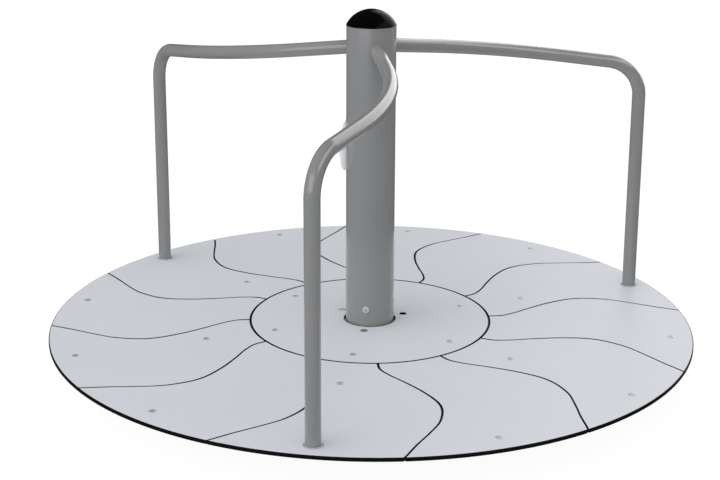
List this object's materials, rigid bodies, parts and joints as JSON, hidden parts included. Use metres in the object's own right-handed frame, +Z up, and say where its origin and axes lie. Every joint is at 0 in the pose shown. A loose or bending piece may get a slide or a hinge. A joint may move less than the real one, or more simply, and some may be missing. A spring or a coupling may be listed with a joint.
{
  "type": "playground roundabout",
  "caption": "Low round platform of wavy deck panels that spins on a fixed centre bearing, with an upright capped post and bent tube handrails from the post to the deck edge.",
  "frame": {"origin": "on the upright turning axis, at ground level, the underside of the base plate", "axes": "+Z up along the turning axis; the handrail legs stand at 30, 150 and 270 degrees from +X towards +Y"},
  "size_m": [2.106, 2.106, 1.1613],
  "materials": {
    "deck_laminate": "satin compact laminate with a black core",
    "grey_paint": "satin powder coat",
    "black_plastic": "gloss moulded",
    "pale_plate": "translucent satin plastic",
    "collar_rubber": "matt",
    "galvanised_steel": "dull zinc",
    "bearing_steel": "machined"
  },
  "bodies": {
    "base": {"base_plate": "galvanised_steel", "pedestal": "galvanised_steel", "spindle": "bearing_steel"},
    "platform": {"deck_panel_01": "deck_laminate", "deck_panel_02": "deck_laminate", "deck_panel_03": "deck_laminate", "deck_panel_04": "deck_laminate", "deck_panel_05": "deck_laminate", "deck_panel_06": "deck_laminate", "deck_panel_07": "deck_laminate", "deck_panel_08": "deck_laminate", "deck_panel_09": "deck_laminate", "deck_panel_10": "deck_laminate", "deck_panel_11": "deck_laminate", "deck_panel_12": "deck_laminate", "centre_disc": "deck_laminate", "centre_post": "grey_paint", "post_cap": "black_plastic", "post_plate": "pale_plate", "handrail_1": "grey_paint", "handrail_2": "grey_paint", "handrail_3": "grey_paint", "rail_collar_1": "collar_rubber", "rail_collar_2": "collar_rubber", "rail_collar_3": "collar_rubber", "outer_ring": "galvanised_steel", "mid_ring": "galvanised_steel", "inner_ring": "galvanised_steel", "frame_arm_1": "galvanised_steel", "frame_arm_2": "galvanised_steel", "frame_arm_3": "galvanised_steel", "frame_arm_4": "galvanised_steel", "frame_arm_5": "galvanised_steel", "frame_arm_6": "galvanised_steel", "post_flange": "galvanised_steel", "hub_housing": "galvanised_steel", "hub_neck": "galvanised_steel", "lower_bearing": "bearing_steel", "upper_bearing": "bearing_steel"}
  },
  "joints": [
    {"name": "spin", "type": "hinge", "parent": "base", "child": "platform", "pos_m": [0, 0, 0.1], "axis": [0, 0, 1], "continuous": true}
  ]
}
